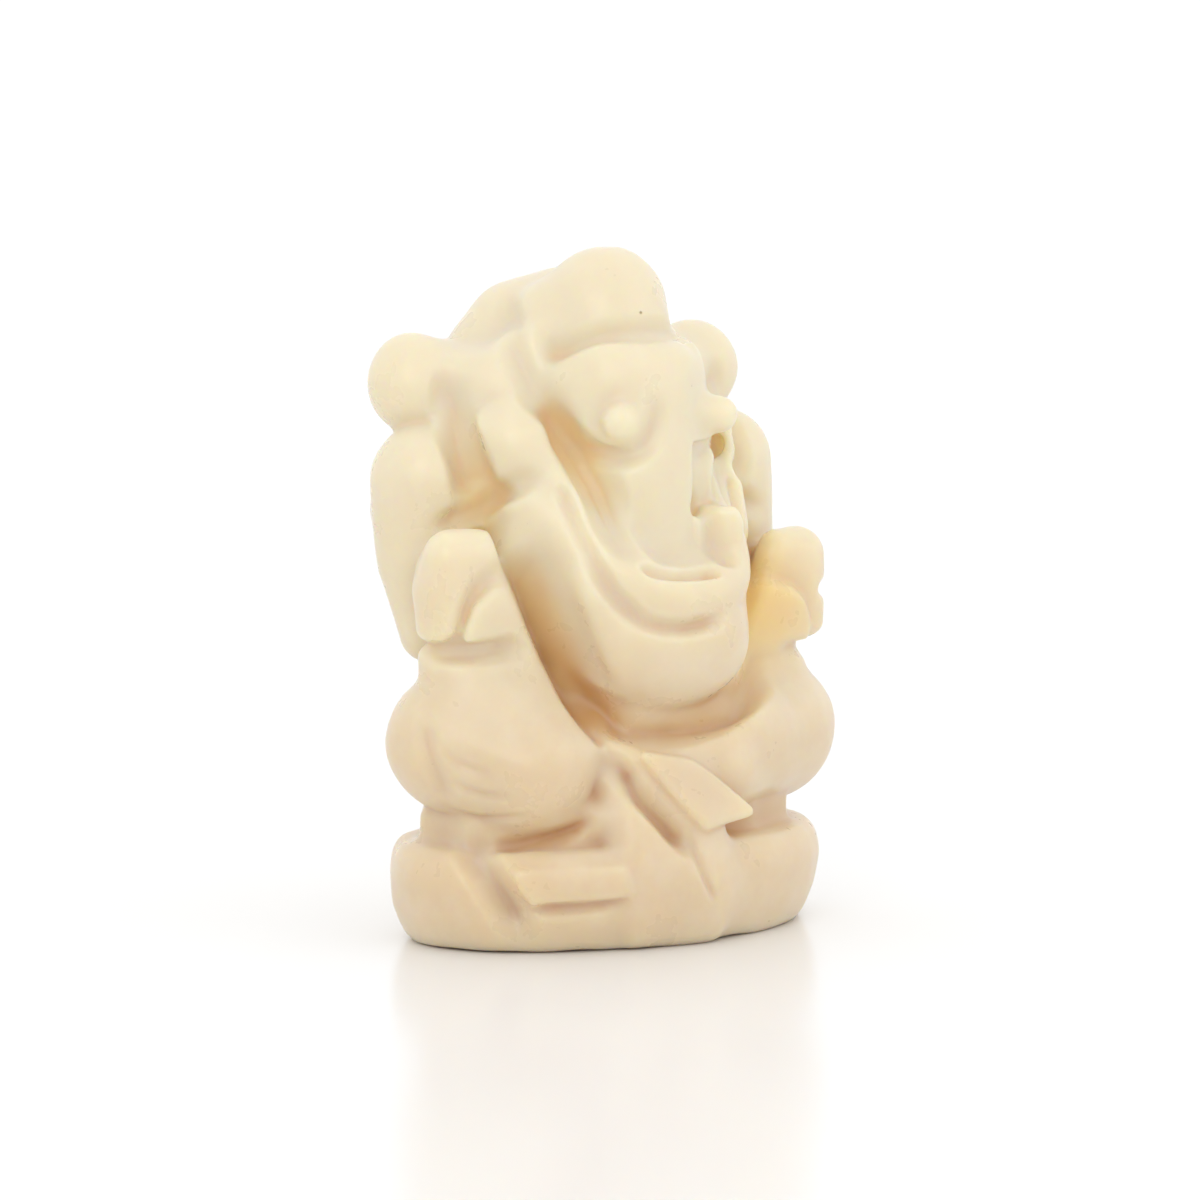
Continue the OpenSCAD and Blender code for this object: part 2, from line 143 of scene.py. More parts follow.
class Block:
    """Signed distance to the stone's surface, in millimetres, on an even grid of cells."""

    def __init__(self, lowest, highest, cell, reach):
        self.cell = cell
        self.reach = reach
        self.start = np.floor(np.array(lowest) / cell).astype(int)
        end = np.ceil(np.array(highest) / cell).astype(int)
        self.field = np.full(tuple(end - self.start + 1), reach, np.float32)
        self.form = np.zeros(self.field.shape, np.uint8)

    def window(self, lowest, highest):
        """Slices of the grid that cover a box."""
        size = np.array(self.field.shape)
        first = np.clip(np.floor(np.array(lowest) / self.cell).astype(int) - self.start, 0, size)
        last = np.clip(np.ceil(np.array(highest) / self.cell).astype(int) - self.start + 1, 0, size)
        return tuple(slice(a, b) for a, b in zip(first, last))

    def places(self, window):
        """The x, y and z of the cells in a window."""
        axes = [(np.arange(s.start, s.stop) + o) * self.cell for s, o in zip(window, self.start)]
        return np.meshgrid(*[a.astype(np.float32) for a in axes], indexing="ij", sparse=True)

    def solid(self, corners, faces):
        """The window that a closed mesh covers, and the distances to its surface there."""
        transform = openvdb.createLinearTransform(voxelSize=self.cell)
        grid = openvdb.FloatGrid.createLevelSetFromPolygons(
            corners, triangles=faces, transform=transform, halfWidth=self.reach / self.cell)
        first, last = (np.array(c) for c in grid.evalActiveVoxelBoundingBox())
        local = np.zeros(tuple(last - first + 1), np.float32)
        grid.copyToArray(local, ijk=tuple(int(c) for c in first))
        low_cell = np.maximum(first - self.start, 0)
        high_cell = np.minimum(last - self.start + 1, self.field.shape)
        window = tuple(slice(a, b) for a, b in zip(low_cell, high_cell))
        inner = tuple(slice(a - f, b - f) for a, b, f in zip(low_cell, high_cell, first - self.start))
        return window, local[inner]

    def add(self, corners, faces, blend, form):
        """Joins a closed mesh to the stone as one of the carved forms."""
        window, local = self.solid(corners, faces)
        here = self.field[window]
        self.form[window][local < here] = form
        self.field[window] = smooth_low(here, local, blend)

    def cut(self, corners, faces, blend):
        """Takes a closed mesh away from the stone."""
        window, local = self.solid(corners, faces)
        self.field[window] = -smooth_low(-self.field[window], local, blend)

    def sample(self, points, field=None):
        """The block's own field, or another of the same size, at any points between its cells."""
        field = self.field if field is None else field
        at = np.asarray(points) / self.cell - self.start
        at = np.clip(at, 0, np.array(field.shape) - 1.001)
        base = at.astype(int)
        part = at - base
        total = 0
        for corner in np.ndindex(2, 2, 2):
            share = np.where(corner, part, 1 - part)
            weight = share[:, 0] * share[:, 1] * share[:, 2]
            total = total + weight * field[tuple((base + corner).T)]
        return total

    def settle(self, line, toward):
        """Drops the points of a line along a direction onto the stone, from well outside it."""
        toward = np.array(toward, float) / np.linalg.norm(toward)
        steps = np.arange(-14, 14, 0.5 * self.cell)
        away, kept = [], []
        for point in line:
            inside = np.nonzero(self.sample(point + steps[:, None] * toward) < 0)[0]
            if len(inside):
                kept.append(point)
                away.append(steps[inside[0]])
        bell = np.hanning(15)
        away = np.pad(away, 6, mode="reflect", reflect_type="odd")
        away = np.convolve(away, bell[1:-1] / bell.sum(), mode="valid")
        return np.array(kept) + away[:, None] * toward

    def groove(self, points, toward, width, depth, keen=1.0, taper=0.25):
        """Grinds a groove along a smooth line on the surface.

        Several widths are spread along it. A keen groove is a plain V; the less keen, the rounder.
        It fades out over the share of its length that taper gives, at both ends.
        """
        line = self.settle(smooth_line(points, 0.2), toward)
        share = np.linspace(0, 1, len(line))
        fade = np.ones(len(line))
        if taper:
            fade = np.clip(np.minimum(share, 1 - share) / taper, 0, 1) ** 0.6
        halves = np.interp(share, np.linspace(0, 1, np.size(width)), np.atleast_1d(width)) / 2
        pad = halves.max() + abs(depth) + 3 * self.cell
        window = self.window(line.min(0) - pad, line.max(0) + pad)
        x, y, z = self.places(window)
        here = self.field[window]
        push = np.zeros_like(here)
        for point, faded, half in zip(line, fade, halves):
            if faded <= 0:
                continue
            near = self.window(point - pad, point + pad)
            i, j, k = (slice(a.start - b.start, a.stop - b.start) for a, b in zip(near, window))
            gap = (x[i] - point[0]) ** 2 + (y[:, j] - point[1]) ** 2 + (z[:, :, k] - point[2]) ** 2
            along = np.sqrt(np.maximum(gap - here[i, j, k] ** 2, 0)) / half
            shape = np.clip(1 - along, 0, 1)
            shape = keen * shape + (1 - keen) * shape * shape * (3 - 2 * shape)
            np.maximum(push[i, j, k], shape * faded, out=push[i, j, k])
        self.field[window] = here + depth * push

    def soften(self, middle, radius, sigma):
        """Rubs the stone smooth inside a ball, and less and less towards the ball's rim."""
        middle = np.array(middle, float)
        window = self.window(middle - radius, middle + radius)
        x, y, z = self.places(window)
        away = np.sqrt((x - middle[0]) ** 2 + (y - middle[1]) ** 2 + (z - middle[2]) ** 2) / radius
        share = np.clip(1.6 * (1 - away), 0, 1)
        self.field[window] += share * (blur(self.field[window], sigma / self.cell) - self.field[window])

    def roughen(self, size, depth):
        """Leaves the slight unevenness of a hand-ground surface."""
        chance = np.random.default_rng(7).standard_normal(self.field.shape, dtype=np.float32)
        waves = blur(chance, size / self.cell)
        self.field += depth * waves / (3 * waves.std())

    def smooth(self, sigma):
        """Rubs the whole stone smooth."""
        self.field = blur(self.field, sigma / self.cell)

    def hollows(self, points, sigma):
        """How deep in a hollow each point lies: 0.5 on a flat face, more in a hollow."""
        filled = np.clip(0.5 - self.field / (2 * self.cell), 0, 1)
        return self.sample(points, blur(filled, sigma / self.cell))

    def forms_at(self, points):
        """The number of the form laid at each point."""
        at = np.rint(points / self.cell).astype(int) - self.start
        return self.form[tuple(np.clip(at, 0, np.array(self.form.shape) - 1).T)]

    def skin(self):
        """Corners and four-sided faces of the surface."""
        grid = openvdb.FloatGrid(float(self.reach))
        grid.transform = openvdb.createLinearTransform(voxelSize=self.cell)
        grid.copyFromArray(self.field, ijk=tuple(int(c) for c in self.start))
        corners, _, faces = grid.convertToPolygons(0.0, 0.0)
        return largest_shell(corners, faces)


def largest_shell(corners, faces):
    """The largest closed surface; loose crumbs and pockets shut inside the stone are left out."""
    label = np.arange(len(corners))
    while True:
        lowest = label[faces].min(axis=1)
        spread = label.copy()
        for k in range(4):
            np.minimum.at(spread, faces[:, k], lowest)
        spread = spread[spread]
        if np.array_equal(spread, label):
            break
        label = spread
    keep = label == np.bincount(label).argmax()
    number = np.cumsum(keep) - 1
    return corners[keep], number[faces[keep[faces[:, 0]]]]


def blur(field, sigma):
    """A soft blur by a bell curve along each axis in turn."""
    radius = max(1, int(math.ceil(2.5 * sigma)))
    taps = np.exp(-0.5 * (np.arange(-radius, radius + 1) / sigma) ** 2)
    taps = (taps / taps.sum()).astype(np.float32)
    for axis in range(3):
        size = field.shape[axis]
        padded = np.pad(field, [(radius, radius) if a == axis else (0, 0) for a in range(3)], mode="edge")
        total = np.zeros_like(field)
        for k, tap in enumerate(taps):
            window = [slice(None)] * 3
            window[axis] = slice(k, k + size)
            total += tap * padded[tuple(window)]
        field = total
    return field


def smooth_line(points, step):
    """A smooth curve through the points, as closely spaced points."""
    p = np.array(points, float)
    p = np.vstack([2 * p[0] - p[1], p, 2 * p[-1] - p[-2]])
    out = []
    for a, b, c, d in zip(p, p[1:], p[2:], p[3:]):
        count = max(2, int(np.linalg.norm(c - b) / step))
        t = np.linspace(0, 1, count, endpoint=False)[:, None]
        out.append(0.5 * (2 * b + (c - a) * t + (2 * a - 5 * b + 4 * c - d) * t ** 2
                          + (3 * b - a - 3 * c + d) * t ** 3))
    out.append(p[-2:-1])
    return np.vstack(out)


# ---- the forms ----

REACH = 1.8
FORMS = ["plinth", "back", "torso", "belly", "head", "jaw", "trunk", "trunk_tip", "right_eye", "left_eye",
         "crown", "hair", "right_ear", "left_ear", "right_rear_hand", "left_rear_hand", "right_rear_arm",
         "left_rear_arm", "right_leg", "left_leg", "cloth_fall", "right_foot", "left_foot", "right_wrist",
         "left_wrist", "right_hand", "left_hand", "right_thumb", "left_thumb"]
PLINTH_STRETCH = (1.022, 1, 1)
PLINTH_SHIFT = (0.25, 0, 0)


def over(balls):
    """The hull drawn tightly over several balls, each given as (middle, radius)."""
    return hull_mesh(np.concatenate([BALL * np.array(radius) + np.array(middle) for middle, radius in balls]))


def drape(stone, form, balls, blend):
    """Lays one form over several balls, with a fillet where it meets the stone."""
    stone.add(*over(balls), blend, FORMS.index(form))


def hollow(stone, balls, blend):
    """Takes away the form drawn over several balls."""
    stone.cut(*over(balls), blend)


def ridge(stone, form, balls, blend):
    """Lays a rounded ridge through several balls."""
    for two in zip(balls, balls[1:]):
        drape(stone, form, two, blend)


def side(s, point):
    """A point given for the left side, on the right side when s is -1."""
    return (s * point[0], point[1], point[2])


def on(s, *balls):
    """Balls given for the left side as (x, y, z, radius), on the right side when s is -1."""
    return [((s * x, y, z), radius) for x, y, z, radius in balls]


def pair(*ball):
    """The same ball on the figure's right and on its left."""
    return on(-1, ball) + on(1, ball)


def in_head(balls):
    """Balls given in the head's own frame."""
    return [(turned(middle), radius) for middle, radius in balls]


def inward(s):
    """The way in which the wheel meets the stone on the right side, s = -1, or on the left, s = 1."""
    return (-s * 0.57, 0.82, -0.1)


INWARD = inward(-1)


def head_groove(stone, points, width, depth, toward=INWARD, **how):
    """Grinds a line given in the head's own frame."""
    stone.groove([turned(p) for p in points], toward, width, depth, **how)


def both(stone, points, width, depth, **how):
    """Grinds the same line on both sides of the head."""
    for s in (-1, 1):
        head_groove(stone, [side(s, p) for p in points], width, depth, inward(s), **how)


def lay_plinth(stone):
    """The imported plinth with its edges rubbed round, and the low seat on it."""
    corners = np.array([v.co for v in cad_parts["plinth"].data.vertices]) / MM
    stone.add(*hull_mesh(corners * PLINTH_STRETCH - PLINTH_SHIFT), 0.3, FORMS.index("plinth"))
    stone.soften((0, 0, SEAT_Z / 2), 40, 0.35)
    seat = [(-14.9, 1), (-14.1, -3), (-11.4, -5.6), (-7, -7.2), (0, -8), (7, -7), (11.8, -4.6), (13.6, -1),
            (12.6, 4), (-12.6, 4)]
    drape(stone, "plinth", [((x, y, SEAT_Z + z), 0.9) for x, y in seat for z in (0, 1.8)], 1)


def lay_back(stone):
    """The upright slab behind the figure, widest at the shoulders."""
    waist = pair(7.5, BACK_Y, KNEE_Z + 6.6, 3.8)
    drape(stone, "back", waist + pair(7.9, BACK_Y - 0.4, SEAT_Z + 3, 3.8), 1.2)
    drape(stone, "back", waist + pair(12, BACK_Y, SHOULDER_Z + 2, 3.8) + pair(9.2, BACK_Y, BROW_Z - 5, 3.2)
          + pair(5, BACK_Y, BROW_Z - 2.8, 3.2), 1.2)


def lay_torso(stone):
    """The shoulders, the trunk of the body and the chest beside the face."""
    drape(stone, "torso", pair(7.2, -1.2, SHOULDER_Z, 3.2) + pair(4.6, 1, SHOULDER_Z + 3, 3.2)
          + pair(6.2, BACK_Y - 3, SHOULDER_Z + 2, 3.2), 1)
    drape(stone, "torso", pair(3.3, -1, SHOULDER_Z, 4.2) + pair(3.3, -1, KNEE_Z - 1, 4.2)
          + pair(3.5, BACK_Y - 3, KNEE_Z - 1, 3), 1)
    for s in (-1, 1):
        drape(stone, "torso", on(s, (8.9, -0.4, 27.5, 2), (8.4, -1.4, 22, 2), (6.6, -4.2, 17.6, 2),
                                 (4, 0, 22, 3)), 1)
        drape(stone, "torso", on(s, (11.4, 3.2, 36, 2), (11.2, 2.6, 31.6, 2), (10.2, 4.8, 40.5, 2),
                                 (6, 5, 35, 3)), 1.2)
    right = on(-1, (6.4, -5, 29, 2.6), (8.7, -1.8, 32.2, 2), (6, -6, 25, 2.6), (4, -2, 28, 3))
    left = on(1, (5.4, -5, 29, 2.4), (8, -1.4, 32, 2), (5.4, -5.6, 25, 2.4), (4, -2, 28, 3))
    for chest in (right, left):
        drape(stone, "torso", chest, 1.2)


def lay_belly(stone):
    """The round belly and the folds that run up from it to the shoulders."""
    drape(stone, "belly", [((0.2, -5.6, BELLY_Z - 0.2), (7.2, 5.8, 6))], 0.4)
    for s in (-1, 1):
        drape(stone, "belly", on(s, (2.6, -5.4, BELLY_Z, (4.6, 4.9, 4.7)), (5.8, -4, BELLY_Z + 2.6, 2.6),
                                 (7, -2.4, SHOULDER_Z - 0.4, 2.8), (5.6, -1.2, CHIN_Z + 5, 2.8)), 1.2)
    stone.soften((0, -5, BELLY_Z + 4), 13, 0.5)


def lay_head(stone):
    """The wedge of the head with the trunk down its front, and the flat cheeks."""
    balls = [((0, 2, 9), 3)]
    for s in (-1, 1):
        balls += on(s, (1.2, -5.2, 13.8, 1.7), (3.4, -3.4, 13.8, 2.2), (4.9, -0.4, 11.6, 2),
                    (3.3, -4.5, 9, 1.9), (1.4, -6.2, 1.2, 1.1), (3.4, -0.5, 5, 2))
    balls += [((-5.4, -1.8, 13.2), 1.3), ((6.9, -0.7, 8.2), 1.6)]
    drape(stone, "head", in_head(balls), 0.25)
    drape(stone, "trunk", in_head([((0.7, -6.4, 12.6), 1.1), ((0.9, -6.7, 6), 0.9), ((0.9, -6.9, 0.6), 0.7),
                                   ((-1.9, -6, 11.5), 1), ((-2, -6.1, 0.6), 1)]), 0.6)
    stone.soften(turned((0, -4, 9)), 15, 0.9)
    left_cheek = [(3.4, -5, 8.6), (3.2, -5.2, 2), (5.2, -4.2, 8.6), (5, -4.4, 2), (3, -1, 6)]
    drape(stone, "head", in_head([(p, 1.2) for p in left_cheek]), 0.5)


def lay_jaw(stone):
    """The long jaw, a ridge from behind one ear round under the trunk to the other."""
    path = smooth_line([(7.2, 0.6, 9.6), (6.9, -1.4, 7.2), (6.4, -3.8, 3.8), (5.5, -6.2, 0.4), (3.8, -8, -2),
                        (1.3, -8.9, -2.7)], 0.9)
    radii = np.interp(np.linspace(0, 1, len(path)), [0, 0.3, 0.65, 1], [1.4, 1.6, 1.9, 2])
    right, left = ([(turned(side(s, p)), r) for p, r in zip(path, radii)] for s in (-1, 1))
    ridge(stone, "jaw", right + left[::-1], 0.4)
    below_ear = on(1, (8, -2.4, 8.6, 1.4), (8, -3.4, 4.6, 1.4), (7.8, -4.4, 1.4, 1.4), (10.6, 2.6, 8, 2.2),
                   (10.6, 2.6, 2, 2.2))
    drape(stone, "left_ear", in_head(below_ear), 0.8)
    stone.soften(turned((0, -7, 0)), 8, 0.35)


def lay_trunk(stone):
    """The straight left edge of the trunk, clear of the cheek, and the tip that curls to the left."""
    clear = [(x, y, z) for x, y in ((1.9, -9), (5, -8.4), (2.1, -6.2), (4.8, -5.8)) for z in (0.6, 8)]
    hollow(stone, in_head([(p, 0.2) for p in clear]), 0.15)
    tip = [(2.3, -7.2, 0.2), (5.1, -8, 0.4), (5.4, -7.9, 1.3), (2.3, -7.2, 2.9), (5.4, -7.9, 2.2),
           (4.9, -8, 2.9), (3.4, -5.6, 0.4), (4.8, -5.8, 2.8)]
    drape(stone, "trunk_tip", in_head([(p, 0.6) for p in tip]), 0.2)
    head_groove(stone, [(3.1, -8.4, 3.8), (3.1, -8.4, 2), (3.2, -8.4, -0.2)], 2.4, 0.7, (-0.4, 0.9, 0),
                keen=0.5, taper=0)


def lay_eyes(stone):
    drape(stone, "right_eye", in_head([((-3.8, -5.4, 9.9), 1.55)]), 0.25)
    drape(stone, "left_eye", in_head([((5.3, -6.1, 10), (1.4, 1.4, 1.35)),
                                      ((2.8, -5.4, 10.3), (1.3, 1.2, 1.5))]), 0.8)


def lay_crown(stone):
    """The round headdress, and its foot at the back."""
    ball = [((0, 0.6, 17.4), (4.7, 4.7, 4.8)), ((0, 0.2, 15.4), (4.9, 5.1, 3.6))]
    drape(stone, "crown", in_head(ball), 0.3)
    drape(stone, "crown", in_head([((-2.7, 2.6, 16.2), 3.7), ((0, 2, 15.6), 3.8)]), 1)


def lay_hair(stone):
    """The hair behind the crown, and where it comes down beside the forehead."""
    balls = [((0, BACK_Y - 0.4, BROW_Z + 0.2), 4.2)]
    for s in (-1, 1):
        balls += on(s, (4.1, BACK_Y - 0.2, BROW_Z, 3.5), (6, BACK_Y, BROW_Z - 2.2, 3.5),
                    (6.3, BACK_Y - 1, BROW_Z - 6, 3.5))
    drape(stone, "hair", balls, 0.9)
    for s in (-1, 1):
        drape(stone, "hair", in_head(on(s, (6.4, 2.2, 15.4, 1.5), (6.4, 1, 13, 1.5), (7.2, 0.2, 10.8, 1.2),
                                        (8.6, 2.6, 12.6, 1.6), (3, 3, 13, 3))), 1)


def lay_ears(stone):
    """The two ears and the hair that they grow from."""
    root = (9, 4.6, 12.6, 2), (7, 3.4, 13, 1.6), (9.6, 3.8, 9.6, 1.6)
    drape(stone, "hair", in_head(on(-1, *root) + on(1, *root)), 1.2)
    ear = ((10.9, 2, 9.8, 0.8), (9.3, 0.6, 10.8, 0.9), (8.2, -1, 9, 1.3), (8.5, -1.4, 6.8, 1.2),
           (9.9, 0.9, 6, 0.9), (9.5, -0.3, 8.6, 1.7), (6, 3, 8.2, 2))
    for s, name in ((-1, "right_ear"), (1, "left_ear")):
        drape(stone, name, in_head(on(s, *ear)), 0.9)
        stone.soften(turned(side(s, (9.6, 0, 9.2))), 5, 0.4)


def lay_rear_arms(stone):
    """The raised rear arms, each with its hand closed to a ball."""
    for s, name, wide in ((-1, "right_rear_", 4), (1, "left_rear_", 4.4)):
        drape(stone, name + "hand", on(s, (12.4, BACK_Y + 0.4, BROW_Z - 3.7, (3.5, 3.4, 3.7)),
                                       (9.4, BACK_Y + 0.2, BROW_Z - 4.4, 3.4)), 0.8)
        drape(stone, name + "arm", on(s, (13, BACK_Y - 1.8, SHOULDER_Z + 4.2, (wide, 4, 4.2)),
                                      (13.4, BACK_Y - 2.2, SHOULDER_Z - 1.6, wide - 0.6),
                                      (13.2, BACK_Y - 2.6, BELLY_Z - 0.2, 2.2)), 0.6)


def lay_right_leg(stone):
    drape(stone, "right_leg", [
        ((-13.3, -0.5, KNEE_Z + 0.4), (5.6, 5.4, 5.4)), ((-10.2, -4.4, KNEE_Z - 1.4), 4.9),
        ((-12.9, -2, KNEE_Z + 3.8), 3.35), ((-8.6, -3.6, KNEE_Z + 6.2), 0.9),
        ((-7.6, -5.6, KNEE_Z + 3.6), 0.9), ((-6.2, -6.9, KNEE_Z + 0.8), 1.2)], 0.4)


def lay_left_leg(stone):
    """The left leg across the lap, filled up to the belly."""
    for blend, balls in (
            (0.4, ((13.3, -1, -0.6, 5.4), (12.5, -1.5, 2.4, 3), (4.5, -6.2, -1.8, 4.1),
                   (0, -5.6, -1.6, 3.5))),
            (1, ((8, -3.4, 2, 2.6), (12, -1.6, 3, 2.6), (2, -4.6, 0.6, 2.6), (-5, -4.6, 1, 2.4))),
            (0.9, ((-3, -7.4, 0.9, 1.6), (2, -7.8, 0.6, 1.7), (7, -7.2, 0.9, 1.7), (10, -5.2, 1, 1.8),
                   (4, -4, 0, 2)))):
        drape(stone, "left_leg", [((x, y, KNEE_Z + up), r) for x, y, up, r in balls], blend)


def lay_front_hand(stone, s):
    """A forearm that rises from the knee to a flat open hand, with the thumb laid across it."""
    crisp = s < 0
    name = "right_" if crisp else "left_"
    z = HAND_Z - (0 if crisp else LEFT_HAND_DROP)
    waist = 3.4 if crisp else 2.6
    drape(stone, name + "wrist", on(
        s, (13.6, -1.2, z - 0.8, (waist, 3, 1.6)), (13, -1.2, z - 3.8, (waist + 0.4, 3.2, 2)),
        (9.4, -3.6, z + 0.8, 0.9), (8.2, -4, z - 1.8, 0.9)), 0.8)
    drape(stone, name + "hand", on(
        s, (15.4, -2.2, z + 6.4, (2.2, 2, 2.2)), (12.9, -3, z + 6.8, (1.3, 1.4, 1.8)),
        (15.9, -1.6, z + 4, (1.8, 2.4, 2.4)), (15.5, -1.8, z + 1.4, (2.2, 2.4, 1.4)),
        (9.6, -3.6, z + 0.9, 0.9), (13.8, 0.2, z + 2, 1.6), (14.8, 0.2, z + 5.6, 1.6)), 0.3)
    stone.groove([(s * 10.4, -3.8, z + 5.6), (s * 12.4, -4, z + 5.2), (s * 13.9, -4, z + 4.4),
                  (s * 15, -4, z + 2.9), (s * 15.5, -3.8, z + 0.6)], (0, 1, 0), 3, 0.75 if crisp else 0.4,
                 keen=0.6, taper=0)
    thumb = [(11.4, -4.2, 4.3), (13.2, -4.3, 3.9), (14.3, -4.2, 2.9), (14.9, -4, 1.4), (15, -3.7, 0.4),
             (9.4, -4.3, 0.4), (9.8, -4.3, 1.6), (12.4, -2, 2.6)]
    drape(stone, name + "thumb", [((s * x, y, z + up), 0.5) for x, y, up in thumb], 0.15 if crisp else 0.9)


def along_slice(x, z, t):
    """A point t into the stone on the slanting plane that the right hand's straight cut follows."""
    return (x + 0.5 * t, -4 + 0.86 * t, z - 0.1 * t)


def slice_right_side(stone):
    """One straight cut that gives the right hand, forearm and thigh their shared crisp edge."""
    line = [(-13, 30.4), (-11.2, 26), (-10, 23), (-8.9, 20.7), (-7.1, 17.7), (-5.6, 15.8), (-4.2, 14.4)]
    beside = [(x + wide, z) for x, z in line for wide in (0.2, 10)]
    hollow(stone, [(along_slice(x, z, t), 0.2) for x, z in beside for t in (-8, 6)], 0.1)


def lay_limbs(stone):
    """The right side is sliced before the left leg is laid across it."""
    lay_right_leg(stone)
    lay_front_hand(stone, -1)
    slice_right_side(stone)
    lay_left_leg(stone)
    lay_front_hand(stone, 1)


def fill_behind_hands(stone):
    """The stone left standing between the torso, the legs and the rear arms."""
    for s in (-1, 1):
        drape(stone, "torso", on(s, (8.2, 2.2, 12, 2.2), (9, 2.8, 17, 2.4), (10, 2.8, 21.5, 2.2)), 0.6)
        drape(stone, "torso", on(s, (13.4, 1.8, 22.2, 1.1)), 0.4)
    drape(stone, "torso", on(1, (11.3, 1.1, 22.2, 1.5)), 0.4)


def lay_cloth(stone):
    """The cloth that falls from the lap over the plinth, and its fold beside the right leg."""
    drape(stone, "cloth_fall", [
        ((-4.6, -5.2, KNEE_Z + 2.6), 2), ((0.8, -5.4, KNEE_Z + 2.6), 2),
        ((-3.8, -7.8, KNEE_Z - 1.4), 2), ((1, -7.8, KNEE_Z - 1.6), 2),
        ((-4.8, -10.3, 4.6), 1.6), ((2, -10.6, 4.6), 1.6),
        ((-4.6, -10, 1.2), 1), ((1.8, -10.4, 1.2), 1)], 0.8)
    drape(stone, "cloth_fall", on(-1, (10, -5.6, 8.4, 1.2), (7, -7.4, 9.4, 1.2), (5, -8.4, 9.6, 1.2),
                                  (4, -5, 10, 2), (9, -4, 7, 2)), 1)
    for x in (-3.4, 3.6):
        stone.soften((x, -11.2, 4), 5, 0.9)


def lay_feet(stone):
    """The right foot along the plinth's edge, and the flat left foot that hangs down the lap."""
    right = [(-12.4, -4.6, 0.8), (-6.2, -8, 0.8), (-13.1, -7.6, 1.6), (-6.6, -10.7, 1.5), (-12.3, -8.3, 3.2),
             (-6.2, -10.9, 2.9)]
    drape(stone, "right_foot", [((x, y, SEAT_Z - down), 0.6) for x, y, down in right], 0.3)
    sole = [(-3.7, -0.5), (0.2, -1.2), (1.8, -2.4), (3.8, -4.4), (4.7, -5), (3.4, -5.2), (0.5, -5.6),
            (-2, -2.8)]
    drape(stone, "left_foot", [((x, -11.6 + 0.04 * x + 0.36 * (z + 6) + thick, KNEE_Z + z), 0.4)
                               for x, z in sole for thick in (0, 3)], 0.15)


# ---- the ground lines ----

def cut_valleys(stone):
    """The wide valley between the face and the right of the jaw, with two fine lines on its floor."""
    above = [(-7.2, 3, 18.6), (-7, 2.4, 17)]
    valley = [(-6.5, 3, 14.9), (-6.2, 1.7, 12.7), (-6.6, -1.2, 10.3), (-5.9, -3, 7.5), (-5.3, -4.6, 5.2),
              (-5.7, -7, 2.6), (-5.3, -8.6, 0.6)]
    head_groove(stone, above + valley[:4], (2.4, 3, 3.4, 4, 5), 0.8, keen=0.4, taper=0.3)
    head_groove(stone, valley[2:], (3.6, 4.6, 4.4, 4, 3.2), 1.3, keen=0.7, taper=0.15)
    for shift in (-0.5, 0.3):
        head_groove(stone, [(x + shift, y, z) for x, y, z in valley[2:]], 0.9, 0.35, taper=0.3)
    stone.soften(turned((-5.6, -2, 12.8)), 3, 0.6)


def cut_brow(stone):
    """The line between the brow and the crown, and the shallow ring round the right eye."""
    head_groove(stone, [(-6.4, -0.6, 14.3), (-5, -1.2, 15.1), (-3.3, -3.4, 16.1), (-1, -4.6, 16.4),
                        (2.2, -4.4, 16.1), (3.6, -5.2, 14.8)], 2.4, 0.6, keen=0.6, taper=0.35)
    across = 2.1
    ring = [(-3.8 + across * math.cos(t), -6 - 0.6 * math.cos(t), 9.9 + across * math.sin(t))
            for t in np.linspace(1.2, 5.4, 9)]
    head_groove(stone, ring, 2, 0.25, keen=0.4)


def cut_cheeks(stone):
    """The narrower valley on the left, and the flat recess below each eye."""
    head_groove(stone, [(6.9, -1.2, 10.6), (7.1, -3, 7.8), (7, -4.6, 5), (6.6, -6.6, 2)], 2.4, 1.2, inward(1))
    both(stone, [(6.3, -2.6, 8.6), (5.5, -3.4, 7.9), (4.8, -4.8, 7.3), (3.8, -6, 6.9)], 2.6, 0.6,
         keen=0.3, taper=0.3)


def cut_mouth(stone):
    """A short cut down each side of the jaw, the long smile, and the slot under the trunk."""
    both(stone, [(8, -4.2, 5.2), (8, -5.5, 3.1), (7.6, -6.9, 0.7)], 1.5, 0.9, taper=0.12)
    head_groove(stone, [(-7.7, -7, 0.5), (-7.1, -7.6, -1.2), (-6.3, -8.4, -2.6), (-4.9, -9.8, -4.1),
                        (-2.8, -10.8, -4.6), (-0.8, -11, -4.5), (1, -11.2, -4.1)], 1.8, 1,
                keen=0.9, taper=0.12)
    head_groove(stone, [(-4.6, -9.3, -0.3), (-3.1, -9.7, -0.7), (-0.9, -10, -0.9), (1.6, -10.1, -0.9)],
                1.3, 1.4, keen=0.9, taper=0.12)


def cut_sockets(stone):
    """The socket of the right eye above the flat cheek, and the slot beside the trunk."""
    head_groove(stone, [(-5.6, -4.4, 8.8), (-5, -5, 7.9), (-4.1, -5.9, 7.5), (-3.1, -6.6, 7.7),
                        (-2.2, -7, 8.6), (-1.8, -7.2, 10), (-1.9, -7.2, 11.4)], 2.4, 0.75,
                keen=0.5, taper=0.3)
    head_groove(stone, [(6.6, -4.6, 8.2), (6.4, -4.6, 6.6), (6.5, -4.6, 5.1), (6.7, -4.6, 3.6)], 1.1, 1.4,
                taper=0.1)


